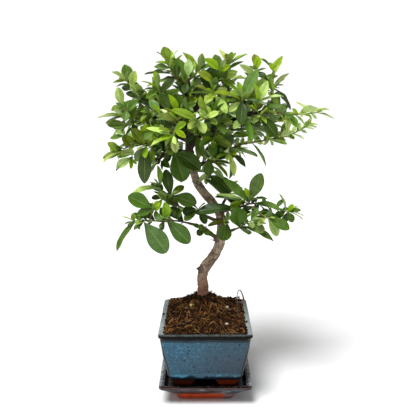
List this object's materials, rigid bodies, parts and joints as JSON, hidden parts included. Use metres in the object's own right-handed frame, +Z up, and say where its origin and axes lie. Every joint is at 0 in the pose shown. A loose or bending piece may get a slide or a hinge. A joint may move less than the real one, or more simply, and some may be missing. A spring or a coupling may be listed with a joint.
{
  "type": "potted bonsai tree",
  "caption": "Firethorn bonsai with a curved trunk and spreading leafy branches, rooted in soil in a glazed oblong pot on a matching saucer.",
  "frame": {"origin": "on the ground under the middle of the whole plant's bounding box", "axes": "+Z up; -Y towards the viewer, out of the short side of the pot that the picture shows; +X to the viewer's right"},
  "size_m": [0.2836, 0.1964, 0.4333],
  "materials": {
    "saucer_glaze": "gloss",
    "pot_glaze": "gloss",
    "drain_mesh": "matte",
    "soil": "matte",
    "wire": "satin",
    "bark": "matte",
    "leaves_dark": "satin",
    "leaves_mid": "satin",
    "leaves_young": "satin"
  },
  "bodies": {
    "root": {"saucer": "saucer_glaze", "pot": "pot_glaze", "drain_mesh": "drain_mesh", "soil": "soil", "tie_wire": "wire", "trunk": "bark", "shoot_low_left": "leaves_mid", "shoot_left": "leaves_mid", "shoot_left_inner": "leaves_dark", "shoot_low_small": "leaves_dark", "shoot_trunk_right": "leaves_dark", "shoot_low_right": "leaves_mid", "shoot_right": "leaves_mid", "shoot_right_inner": "leaves_mid", "shoot_mid_right": "leaves_young", "shoot_mid_inner": "leaves_dark", "shoot_centre": "leaves_dark", "shoot_centre_right": "leaves_dark", "shoot_big_pair": "leaves_dark", "shoot_stub_left": "leaves_dark", "shoot_left_low": "leaves_young", "shoot_left_mid": "leaves_young", "shoot_left_up": "leaves_mid", "shoot_leader": "leaves_mid", "shoot_leader_right": "leaves_young", "shoot_top_right": "leaves_mid", "shoot_crown_right": "leaves_mid", "shoot_main_right": "leaves_young", "shoot_main_right_up": "leaves_young", "shoot_main_right_under": "leaves_dark", "shoot_main_right_inner": "leaves_young", "shoot_front_centre": "leaves_young", "shoot_front_hang": "leaves_young", "shoot_front_left": "leaves_young", "shoot_front_mid": "leaves_dark", "shoot_crown_left": "leaves_dark", "shoot_crown_low_left": "leaves_dark", "shoot_back_tall": "leaves_mid", "shoot_back_tall_side": "leaves_mid", "shoot_back_right": "leaves_mid", "shoot_back_right_up": "leaves_mid", "shoot_back_left": "leaves_mid", "shoot_back_left_up": "leaves_mid", "shoot_back_low": "leaves_mid", "shoot_back_out": "leaves_mid", "shoot_back_out_low": "leaves_mid", "shoot_top_back": "leaves_mid", "shoot_back_centre": "leaves_mid", "shoot_back_mid": "leaves_mid", "shoot_top_left_back": "leaves_mid"}
  },
  "joints": []
}
